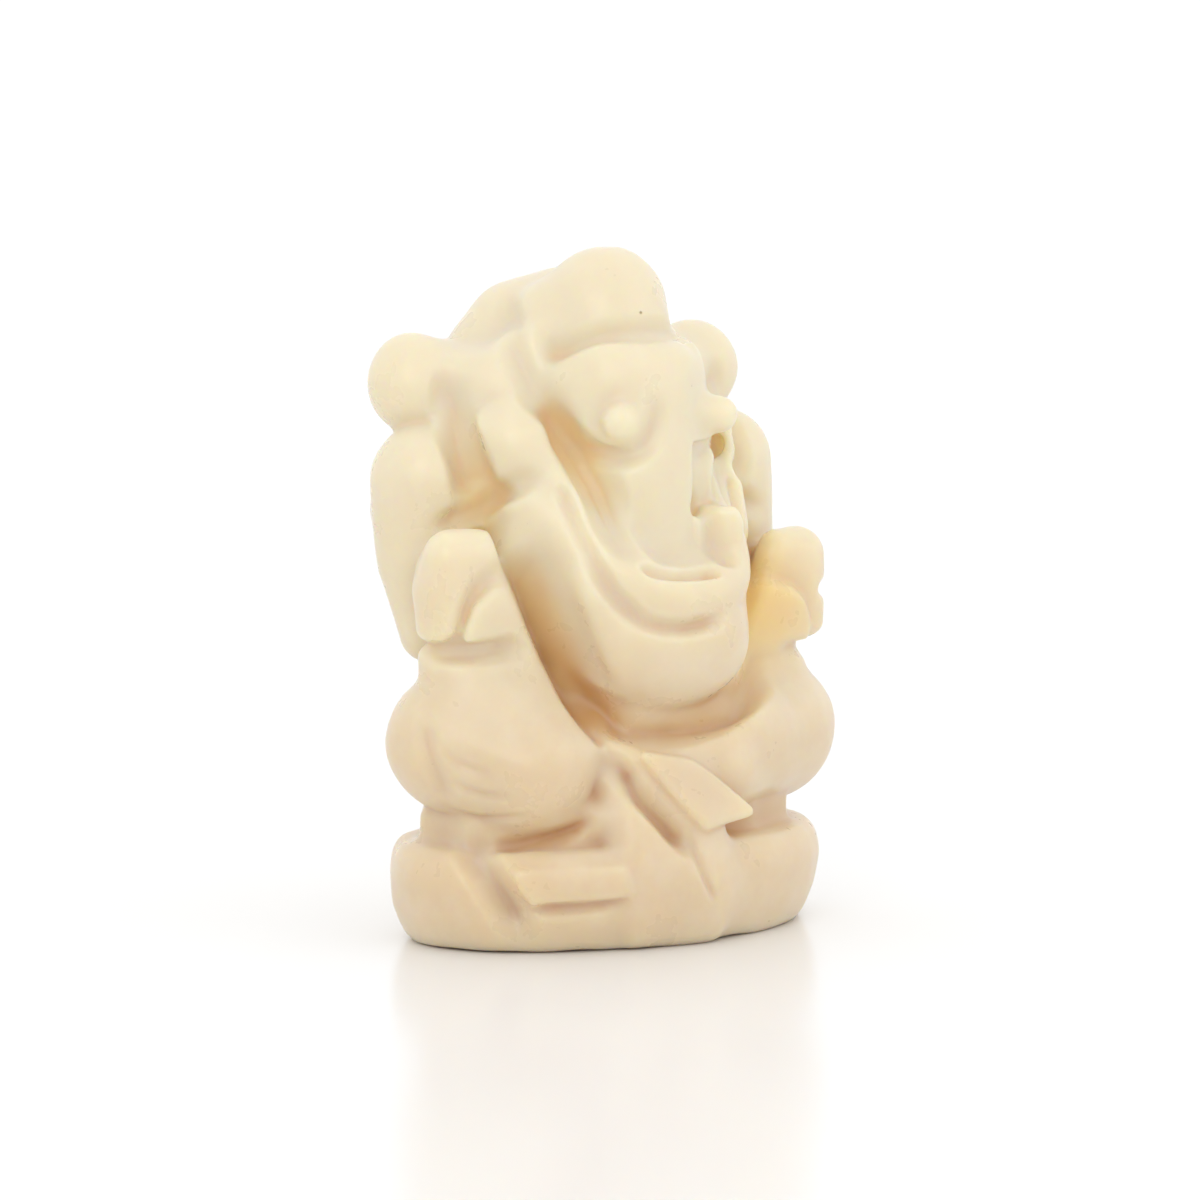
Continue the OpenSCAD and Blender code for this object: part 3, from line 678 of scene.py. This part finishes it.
def cut_head_borders(stone):
    """The creases between ear and arm and between jaw and shoulder."""
    for s in (-1, 1):
        stone.groove([(s * 11.6, 4, 40.4), (s * 12, 3, 39), (s * 12, 1.4, 36.2), (s * 11.6, 1, 34.4),
                      (s * 11, 0.7, 32.6)], inward(s), (2.6, 3.8, 5), 1.9, keen=0.5, taper=0.12)
        stone.groove([(s * 14.6, 0.6, 30.2), (s * 12.4, 0, 31.2), (s * 10.6, -1, 32.4), (s * 9.1, -3.4, 34)],
                     inward(s), 2.6, 0.9, keen=0.4, taper=0.2)
        stone.soften((s * 9.5, 3, 41.5), 5.5, 0.8)


def cut_chest(stone):
    """A deep plane beside the right hand, from the hand's edge to a ridge down the chest."""
    stone.soften((-7.5, -4, 28), 8, 0.9)
    wall = [(-12.7, 30.4, 0.6), (-10.9, 26, 3.4), (-9.7, 23, 3.2), (-8.6, 20.7, 2.4), (-6.9, 17.7, 0.2),
            (-5.4, 15.8, -2.4), (-4.3, 14.6, -3.8)]
    crest = [(-8.7, -5, 29.6), (-7.9, -6, 26), (-6.8, -7, 22.5), (-5.6, -7.8, 19.4), (-5.5, -7.9, 17.4),
             (-6, -8.2, 15.4)]
    dx, dy, dz = INWARD
    hollow(stone, [(along_slice(x, z, t), 0.2) for x, z, deep in wall for t in (deep, -6)]
           + [((x - dx * t, y - dy * t, z - dz * t), 0.2) for x, y, z in crest for t in (0, 6)], 0.3)
    stone.soften((-5.6, -8, 17.5), 4, 0.4)
    stone.soften((-7, -7, 24.5), 7, 0.8)
    stone.soften((-8.7, -5.5, 29), 4, 1)
    stone.groove([(8.6, -5, 30), (8.4, -6, 27), (8, -7, 24), (7.6, -8, 21)], inward(1), 4, 0.8, keen=0.4)


def cut_hands(stone):
    """The wrist lines of both hands, and the nick in the left hand's edge."""
    z = HAND_Z
    stone.groove([(-16.9, -1.3, z - 0.3), (-15.9, -3.2, z - 0.2), (-14, -4, z - 0.2), (-12, -4.2, z),
                  (-10.8, -4.2, z + 0.1)], INWARD, 2.4, 0.9, keen=0.6, taper=0.25)
    z -= LEFT_HAND_DROP
    stone.groove([(16.8, -1, z - 0.6), (15, -3.4, z - 0.4), (12.6, -3.9, z - 0.2)], (-0.2, 0.97, 0), 1.8, 0.6,
                 taper=0.3)
    stone.groove([(16.6, -4, z + 3.9), (18.2, -2, z + 4.1), (18.2, 0.5, z + 4.3)], (-0.9, 0.3, 0), 1.8, 0.7,
                 taper=0.2)


def cut_legs(stone):
    """The fold lines on the right knee, and the crescent under the belly."""
    stone.groove([(-18.1, -2.6, 16.7), (-18.1, -3.2, 14.8), (-17.5, -3.5, 13), (-16.4, -3.2, 11.1)], INWARD,
                 2, 0.45)
    for line in ([(-17.4, -4.1, 14.7), (-16.5, -5, 13.9), (-14.9, -6.6, 13.2)],
                 [(-16.9, -4.1, 12.8), (-15.4, -5.4, 11.7), (-13.5, -7.7, 11.5)],
                 [(-16.3, -2.2, 10.6), (-14.4, -4.4, 9.8), (-12.3, -7.7, 10.1)]):
        stone.groove(line, INWARD, 0.9, 0.35, taper=0.5)
    crescent = [(-7.6, -6, 19.2), (-6.8, -6, 18.1), (-5.1, -7.4, 16.7), (-3, -8.2, 15.8), (0.4, -8.4, 15.6),
                (4.7, -7.4, 16.2), (8, -6.2, 17.3), (9.6, -5.4, 18.6)]
    stone.groove(crescent, INWARD, 3.2, 2.2, keen=0.7, taper=0.2)


def cut_base(stone):
    """The lines round the right foot, then the deep one beside the left foot and down the cloth."""
    for width, depth, taper, line in (
            (3.2, 1.5, 0.2, [(-14.9, -3.9, 7.6), (-14.9, -5.4, 6.3), (-14.1, -6.5, 4.2), (-12.7, -7.1, 1.8)]),
            (1.4, 0.6, 0.3, [(-12.6, -7.8, 3.3), (-11.2, -8.6, 3.3), (-9.3, -9.6, 3.4), (-7.2, -10.4, 3.6),
                             (-6.2, -11.1, 3.9)]),
            (1.6, 0.9, 0.2, [(-13.8, -5.2, 7.6), (-11.4, -6.4, 8), (-8.8, -7.4, 8.6), (-7.2, -8, 9.6)]),
            (2.2, 1.3, 0.15, [(-5.6, -8.7, 13.4), (-4.6, -9.8, 11.7), (-3.2, -10.6, 9.9), (-1.8, -11.1, 8.2),
                              (-0.9, -11.4, 7.2)]),
            (0.9, 0.4, 0.2, [(-0.9, -11.4, 7.6), (-0.2, -12, 5.7), (1.1, -11.9, 3.3)])):
        stone.groove(line, INWARD, width, depth, taper=taper)


def polish(stone):
    """The slight waves of a hand-ground stone, with the last cell steps rubbed away."""
    stone.roughen(1.1, 0.16)
    stone.smooth(0.15)


# ---- the skin and its finish ----

# The crease and hollow depths are measured over these sizes, in millimetres; they steer the painted shade.
CREASE_SIZE = 0.6
HOLLOW_SIZE = 3.2
# Where the painted glow of the deep gap between the left hand and the belly is centred, and how far it
# reaches, in metres.
GAP_GLOW_PLACE = (0.0100, -0.0045, 0.0235)
GAP_GLOW_REACH = 0.0078


def make_skin(stone, name):
    """One seamless closed mesh of the block, with the carved forms as vertex groups."""
    corners, faces = stone.skin()
    corners = np.clip(corners, LOWEST, HIGHEST).astype(np.float32)
    a, b, c = (corners[faces[:, k]] for k in (0, 1, 2))
    if np.einsum("ij,ij->", a, np.cross(b, c)) < 0:
        faces = faces[:, ::-1]
    mesh = bpy.data.meshes.new(name)
    mesh.vertices.add(len(corners))
    mesh.loops.add(4 * len(faces))
    mesh.polygons.add(len(faces))
    mesh.vertices.foreach_set("co", (corners * MM).ravel())
    mesh.polygons.foreach_set("loop_start", np.arange(0, 4 * len(faces), 4, dtype=np.int32))
    mesh.loops.foreach_set("vertex_index", faces.astype(np.int32).ravel())
    mesh.polygons.foreach_set("use_smooth", np.ones(len(faces), bool))
    mesh.update(calc_edges=True)
    if mesh.validate():
        raise RuntimeError("the skin of the stone has faulty faces")
    # The crease and hollow depths kept on the skin steer the painted shade in the stone's colour and the
    # rougher polish in the creases.
    for label, size in (("crease", CREASE_SIZE), ("hollow", HOLLOW_SIZE)):
        values = mesh.attributes.new(label, "FLOAT", "POINT")
        values.data.foreach_set("value", stone.hollows(corners, size).astype(np.float32))
    idol = bpy.data.objects.new(name, mesh)
    bpy.context.scene.collection.objects.link(idol)
    form = stone.forms_at(corners)
    for number, label in enumerate(FORMS):
        group = idol.vertex_groups.new(name=label)
        group.add(np.nonzero(form == number)[0].tolist(), 1.0, "REPLACE")
    return idol


class Nodes:
    """Adds and links nodes in one tree."""

    def __init__(self, tree):
        self.tree = tree

    def feed(self, socket, value):
        """Gives a socket another node's output, or a plain value."""
        if isinstance(value, bpy.types.NodeSocket):
            self.tree.links.new(value, socket)
        else:
            socket.default_value = value

    def add(self, kind, inputs, **settings):
        node = self.tree.nodes.new(kind)
        for key, value in settings.items():
            setattr(node, key, value)
        for key, value in inputs.items():
            self.feed(node.inputs[key], value)
        return node

    def math(self, operation, a, b):
        return self.add("ShaderNodeMath", {0: a, 1: b}, operation=operation).outputs[0]

    def spread(self, value, start, end, to_start=0.0, to_end=1.0, kind="LINEAR"):
        """Spreads a value from one range over another, without leaving it."""
        ranges = {"Value": value, "From Min": start, "From Max": end, "To Min": to_start, "To Max": to_end}
        return self.add("ShaderNodeMapRange", ranges, interpolation_type=kind).outputs["Result"]

    def mix(self, share, a, b):
        """A share of the way from one colour to another; 6, 7 and 2 are the node's colour sockets."""
        return self.add("ShaderNodeMix", {0: share, 6: a, 7: b}, data_type="RGBA").outputs[2]

    def noise(self, place, scale, detail=3.0, roughness=0.5, distortion=0.0):
        inputs = {"Vector": place, "Scale": scale, "Detail": detail, "Roughness": roughness,
                  "Distortion": distortion}
        return self.add("ShaderNodeTexNoise", inputs).outputs["Fac"]

    def painted(self, label):
        """A value kept at each corner of the mesh."""
        return self.add("ShaderNodeAttribute", {}, attribute_name=label).outputs["Fac"]


def opaque(colour):
    return (*colour, 1)


def stone_colour(n, looks, place, clouds, veil, crease):
    """Yellow above and peach below, pale in the veil, with amber painted shade in the hollows and creases and
    an amber painted glow in the gap beside the left hand.
    """
    height = n.add("ShaderNodeSeparateXYZ", {"Vector": place}).outputs["Z"]
    top = HIGHEST[2] * MM
    drift = n.math("MULTIPLY", n.math("SUBTRACT", clouds, 0.5), 0.5 * top)
    share = n.spread(n.math("ADD", height, drift), 0.1 * top, 0.75 * top, kind="SMOOTHSTEP")
    body = n.mix(share, opaque(looks.lower_colour), opaque(looks.upper_colour))
    pale = n.mix(n.spread(veil, 0.45, 0.75, 0, 0.3), body, opaque(looks.veil_colour))
    # Painted shade: the amber colour laid into the hollows, darker and redder towards the plinth.
    tint = n.mix(share, opaque(looks.low_painted_shade_colour), opaque(looks.high_painted_shade_colour))
    # The share of painted shade grows with the depth of the wide hollows.
    deep = n.spread(n.painted("hollow"), 0.5, 0.76, 0, looks.amber, kind="SMOOTHSTEP")
    # Painted glow: an amber light painted into the deep gap between the left hand and the belly.
    far = n.add("ShaderNodeVectorMath", {0: place, 1: GAP_GLOW_PLACE}, operation="DISTANCE").outputs["Value"]
    near_gap_glow = n.spread(far, 0, GAP_GLOW_REACH, looks.amber, 0, kind="SMOOTHSTEP")
    glowing = n.mix(near_gap_glow, n.mix(deep, pale, tint), opaque(looks.painted_gap_glow_colour))
    # More painted shade in the fine creases.
    fine = n.spread(crease, 0.56, 0.8, 0, 0.5 * looks.amber, kind="SMOOTHSTEP")
    return n.mix(fine, glowing, tint)


def dark_pits(n, place, clouds):
    """A few tiny pits, scattered where the clouds are dense."""
    cells = n.add("ShaderNodeTexVoronoi", {"Vector": place, "Scale": 330}, feature="F1")
    lucky = n.add("ShaderNodeSeparateColor", {"Color": cells.outputs["Color"]}).outputs[0]
    return n.math("MULTIPLY", n.spread(cells.outputs["Distance"], 0.035, 0.06, 1, 0),
                  n.math("MULTIPLY", n.spread(lucky, 0.86, 0.87), n.spread(clouds, 0.5, 0.55)))


def worn_relief(n, place, pit):
    """Slight waves, fine lines left by the wheel, and the pits, as a height."""
    slant = {"Vector": place, "Rotation": (0.5, 0.35, 0.9), "Scale": (60, 60, 900)}
    stretched = n.add("ShaderNodeMapping", slant).outputs["Vector"]
    lines = n.spread(n.noise(stretched, 1.0, 2, 0.5, 0.3), 0.62, 0.7)
    waves = n.noise(place, 420, 2, 0.5)
    relief = n.math("ADD", n.math("MULTIPLY", waves, 0.6), n.math("MULTIPLY", lines, -0.12))
    relief = n.math("SUBTRACT", relief, n.math("MULTIPLY", pit, 2.5))
    bump = n.add("ShaderNodeBump", {"Strength": 0.35, "Distance": 0.00006, "Height": relief})
    return bump.outputs["Normal"]


def stone_material(looks):
    """Cream stone that light soaks into, under a worn polish."""
    material = bpy.data.materials.new("cream_stone")
    material.use_nodes = True
    tree = material.node_tree
    tree.nodes.clear()
    n = Nodes(tree)
    place = n.add("ShaderNodeTexCoord", {}).outputs["Object"]
    clouds = n.noise(place, 70, 3, 0.5, 0.6)
    veil = n.noise(place, 210, 4, 0.6)
    crease = n.painted("crease")
    pit = dark_pits(n, place, clouds)
    colour = n.mix(n.math("MULTIPLY", pit, 0.75), stone_colour(n, looks, place, clouds, veil, crease),
                   opaque(looks.pit_colour))
    rough = n.math("ADD", n.spread(veil, 0.3, 0.7, 0.24, 0.4), n.spread(crease, 0.55, 0.8, 0, 0.2))
    shader = n.add("ShaderNodeBsdfPrincipled", {
        "Base Color": colour, "Roughness": rough, "Normal": worn_relief(n, place, pit), "IOR": 1.5,
        "Subsurface Weight": 0.7, "Subsurface Radius": (1.0, 0.68, 0.3),
        "Subsurface Scale": looks.depth_of_light, "Subsurface Anisotropy": 0.6,
        "Coat Weight": 0.15, "Coat Roughness": 0.12}, subsurface_method="RANDOM_WALK")
    n.add("ShaderNodeOutputMaterial", {"Surface": shader.outputs[0]})
    return material


# ---- what can be changed ----

class IdolCarving(bpy.types.PropertyGroup):
    """Sizes of the carving."""

    cell: FloatProperty(name="Cell", description="Edge of one cell of the block, in millimetres",
                        default=0.2, min=0.12, max=0.5)


class IdolFinish(bpy.types.PropertyGroup):
    """Colours and translucence of the stone, with painted shade and a painted glow laid into its colour."""

    upper_colour: FloatVectorProperty(
        name="Upper colour", description="Colour of the stone near the crown",
        subtype="COLOR", min=0, max=1, default=(0.77, 0.69, 0.51))
    lower_colour: FloatVectorProperty(
        name="Lower colour", description="Colour of the stone near the plinth",
        subtype="COLOR", min=0, max=1, default=(0.70, 0.56, 0.38))
    veil_colour: FloatVectorProperty(
        name="Veil colour", description="Colour of the paler clouds in the stone",
        subtype="COLOR", min=0, max=1, default=(0.82, 0.76, 0.63))
    # The two colours of the painted shade in the grooves and hollows.
    high_painted_shade_colour: FloatVectorProperty(
        name="High hollow colour", description="Colour in the grooves near the crown",
        subtype="COLOR", min=0, max=1, default=(0.88, 0.68, 0.36))
    low_painted_shade_colour: FloatVectorProperty(
        name="Low hollow colour", description="Colour in the grooves near the plinth",
        subtype="COLOR", min=0, max=1, default=(0.60, 0.28, 0.07))
    # Colour of the painted glow in the deep gap between the left hand and the belly.
    painted_gap_glow_colour: FloatVectorProperty(
        name="Vein colour", description="Colour of the amber vein beside the left hand",
        subtype="COLOR", min=0, max=1, default=(0.80, 0.57, 0.22))
    pit_colour: FloatVectorProperty(
        name="Pit colour", description="Colour of the tiny dark pits",
        subtype="COLOR", min=0, max=1, default=(0.22, 0.12, 0.05))
    # Strength of the painted shade in the hollows and creases, and of the painted glow in the gap beside the
    # left hand.
    amber: FloatProperty(name="Amber", description="How strongly the hollows are tinted",
                         subtype="FACTOR", min=0, max=1, default=0.8)
    depth_of_light: FloatProperty(name="Depth of light", description="How far light soaks into the stone",
                                  subtype="DISTANCE", unit="LENGTH", min=0, max=0.01, default=0.0045)


class IdolStage(bpy.types.PropertyGroup):
    """Lights, floor and camera."""

    azimuth: FloatProperty(name="Azimuth", description="Turn of the camera about the idol; 0 faces it",
                           subtype="ANGLE", unit="ROTATION", default=math.radians(-35))
    elevation: FloatProperty(name="Elevation", description="Tilt of the camera down towards the idol",
                             subtype="ANGLE", unit="ROTATION", default=math.radians(6.5))
    distance: FloatProperty(name="Distance", description="From the camera to the middle of the idol",
                            subtype="DISTANCE", unit="LENGTH", default=0.45)
    lens: FloatProperty(name="Lens", description="Focal length of the camera", subtype="DISTANCE_CAMERA",
                        unit="CAMERA", default=184.1)
    key_power: FloatProperty(name="Key light", description="Power of the large light above and to the left",
                             subtype="POWER", unit="POWER", default=0.5)
    fill_power: FloatProperty(name="Fill light", description="Power of the large light at the right",
                              subtype="POWER", unit="POWER", default=0.2)
    sky: FloatProperty(name="Surround", description="Brightness of the white surround", min=0, default=1.08)
    floor_colour: FloatVectorProperty(name="Floor colour", description="Colour of the floor",
                                      subtype="COLOR", min=0, max=1, default=(0.9, 0.9, 0.9))


# ---- the operators ----

work = {}


def block():
    """The block of stone that the steps share."""
    if "stone" not in work:
        raise RuntimeError("start with a new block of stone")
    return work["stone"]


class IDOL_OT_new_block(bpy.types.Operator):
    """Sets out a new block of stone"""

    bl_idname = "idol.new_block"
    bl_label = "New block"

    def execute(self, context):
        stone = Block(LOWEST - 1.5, HIGHEST + 1.5, context.scene.idol_carving.cell, REACH)
        work["stone"] = stone
        lay_plinth(stone)
        return {"FINISHED"}


class IDOL_OT_limbs(bpy.types.Operator):
    """Carves the folded legs with the front hands that rise from the knees"""

    bl_idname = "idol.limbs"
    bl_label = "Legs and front hands"

    def execute(self, context):
        for lay in (lay_limbs, fill_behind_hands):
            lay(block())
        return {"FINISHED"}


class IDOL_OT_body(bpy.types.Operator):
    """Carves the slab behind the figure, the torso and the round belly"""

    bl_idname = "idol.body"
    bl_label = "Torso and belly"

    def execute(self, context):
        for lay in (lay_back, lay_torso, lay_belly):
            lay(block())
        return {"FINISHED"}


class IDOL_OT_head(bpy.types.Operator):
    """Carves the elephant's head, jaw, trunk, eyes, crown, hair and ears"""

    bl_idname = "idol.head"
    bl_label = "Head"

    def execute(self, context):
        stone = block()
        for lay in (lay_head, lay_jaw, lay_trunk, lay_eyes, lay_crown, lay_hair, lay_ears):
            lay(stone)
        return {"FINISHED"}


class IDOL_OT_rear_arms(bpy.types.Operator):
    """Carves the two raised rear arms and their hands"""

    bl_idname = "idol.rear_arms"
    bl_label = "Rear arms and hands"

    def execute(self, context):
        lay_rear_arms(block())
        return {"FINISHED"}


class IDOL_OT_feet(bpy.types.Operator):
    """Carves the cloth that falls from the lap and the two feet"""

    bl_idname = "idol.feet"
    bl_label = "Cloth and feet"

    def execute(self, context):
        for lay in (lay_cloth, lay_feet):
            lay(block())
        return {"FINISHED"}


class IDOL_OT_grooves(bpy.types.Operator):
    """Grinds the grooves between the forms with the edge of a wheel"""

    bl_idname = "idol.grooves"
    bl_label = "Ground grooves"

    def execute(self, context):
        for cut in (cut_chest, cut_head_borders, cut_valleys, cut_brow, cut_cheeks, cut_mouth, cut_sockets,
                    cut_hands, cut_legs, cut_base):
            cut(block())
        return {"FINISHED"}


class IDOL_OT_polish(bpy.types.Operator):
    """Polishes the block, gives it one skin and finishes it as cream stone"""

    bl_idname = "idol.polish"
    bl_label = "Polish and finish"

    def execute(self, context):
        stone = block()
        polish(stone)
        idol = make_skin(stone, "idol_stone")
        idol.data.materials.append(stone_material(context.scene.idol_finish))
        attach(idol, "root")
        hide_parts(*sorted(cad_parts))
        return {"FINISHED"}


class IDOL_OT_stage(bpy.types.Operator):
    """Sets out the pale floor, the soft lights and the camera"""

    bl_idname = "idol.stage"
    bl_label = "Floor, lights and camera"

    def execute(self, context):
        looks = context.scene.idol_stage
        lay_floor(looks)
        hang_lights(looks)
        place_camera(looks)
        context.scene.view_settings.view_transform = "Standard"
        return {"FINISHED"}


def lay_floor(looks):
    """A wide pale floor, a hair below the plinth so that the two never coincide."""
    mesh = bpy.data.meshes.new("floor")
    reach, drop = 3, -0.00003
    mesh.from_pydata([(x * reach, y * reach, drop) for x, y in ((-1, -1), (1, -1), (1, 1), (-1, 1))],
                     [], [(0, 1, 2, 3)])
    floor = bpy.data.objects.new("floor", mesh)
    bpy.context.scene.collection.objects.link(floor)
    material = bpy.data.materials.new("pale_floor")
    material.use_nodes = True
    shader = material.node_tree.nodes["Principled BSDF"]
    shader.inputs["Base Color"].default_value = opaque(looks.floor_colour)
    shader.inputs["Roughness"].default_value = 0.2
    shader.inputs["Specular IOR Level"].default_value = 0.3
    mesh.materials.append(material)


IDOL_MIDDLE = Vector((0, 0, 0.025))


def hang_light(name, place, size, power, tint):
    """A large square light that faces the middle of the idol."""
    light = bpy.data.lights.new(name, "AREA")
    light.shape = "SQUARE"
    light.size = size
    light.energy = power
    light.color = tint
    lamp = bpy.data.objects.new(name, light)
    lamp.location = place
    lamp.rotation_euler = (IDOL_MIDDLE - lamp.location).to_track_quat("-Z", "Y").to_euler()
    bpy.context.scene.collection.objects.link(lamp)


def hang_lights(looks):
    """The key light at the left, a weak fill at the right, and a white surround."""
    hang_light("key_light", (-0.42, -0.4, 0.3), 0.35, looks.key_power, (1, 0.99, 0.97))
    hang_light("fill_light", (0.25, -0.4, 0.2), 0.4, looks.fill_power, (0.97, 0.98, 1))
    world = bpy.data.worlds.new("white_surround")
    world.use_nodes = True
    white = world.node_tree.nodes["Background"].inputs
    white["Color"].default_value = (1, 1, 1, 1)
    white["Strength"].default_value = looks.sky
    bpy.context.scene.world = world


def place_camera(looks):
    """A long lens that looks at a point close to the middle of the idol."""
    a, e = looks.azimuth, looks.elevation
    back = Vector((math.sin(a) * math.cos(e), -math.cos(a) * math.cos(e), math.sin(e)))
    right = Vector((math.cos(a), math.sin(a), 0))
    up = back.cross(right)
    height, aside, below = 0.0246, 0.00066, 0.00048
    aim = Vector((0, 0, height)) - aside * right - below * up
    data = bpy.data.cameras.new("camera")
    data.lens = looks.lens
    data.sensor_width = 36
    data.clip_start = 0.01
    data.clip_end = 20
    camera = bpy.data.objects.new("camera", data)
    camera.matrix_world = Matrix((right, up, back)).transposed().to_4x4()
    camera.location = aim + looks.distance * back
    bpy.context.scene.collection.objects.link(camera)
    bpy.context.scene.camera = camera


class IDOL_PT_panel(bpy.types.Panel):
    """Lists the steps that make the idol, with what can be changed"""

    bl_idname = "IDOL_PT_panel"
    bl_label = "Carved stone Ganesha"
    bl_space_type = "VIEW_3D"
    bl_region_type = "UI"
    bl_category = "Idol"

    def draw(self, context):
        for step in STEPS:
            self.layout.operator(step.bl_idname)
        for group in (context.scene.idol_carving, context.scene.idol_finish, context.scene.idol_stage):
            box = self.layout.box()
            for name in group.__annotations__:
                box.prop(group, name)


STEPS = (IDOL_OT_new_block, IDOL_OT_limbs, IDOL_OT_body, IDOL_OT_head, IDOL_OT_rear_arms,
         IDOL_OT_feet, IDOL_OT_grooves, IDOL_OT_polish, IDOL_OT_stage)
CLASSES = (IdolCarving, IdolFinish, IdolStage, *STEPS, IDOL_PT_panel)


def register():
    for cls in CLASSES:
        bpy.utils.register_class(cls)
    bpy.types.Scene.idol_carving = PointerProperty(type=IdolCarving)
    bpy.types.Scene.idol_finish = PointerProperty(type=IdolFinish)
    bpy.types.Scene.idol_stage = PointerProperty(type=IdolStage)


def unregister():
    for name in ("idol_carving", "idol_finish", "idol_stage"):
        delattr(bpy.types.Scene, name)
    for cls in reversed(CLASSES):
        bpy.utils.unregister_class(cls)


def main():
    """Carves the idol and sets the stage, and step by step."""
    register()
    bpy.ops.idol.new_block()
    bpy.ops.idol.limbs()
    bpy.ops.idol.body()
    bpy.ops.idol.head()
    bpy.ops.idol.rear_arms()
    bpy.ops.idol.feet()
    bpy.ops.idol.grooves()
    bpy.ops.idol.polish()
    bpy.ops.idol.stage()


if __name__ == "__main__":
    main()
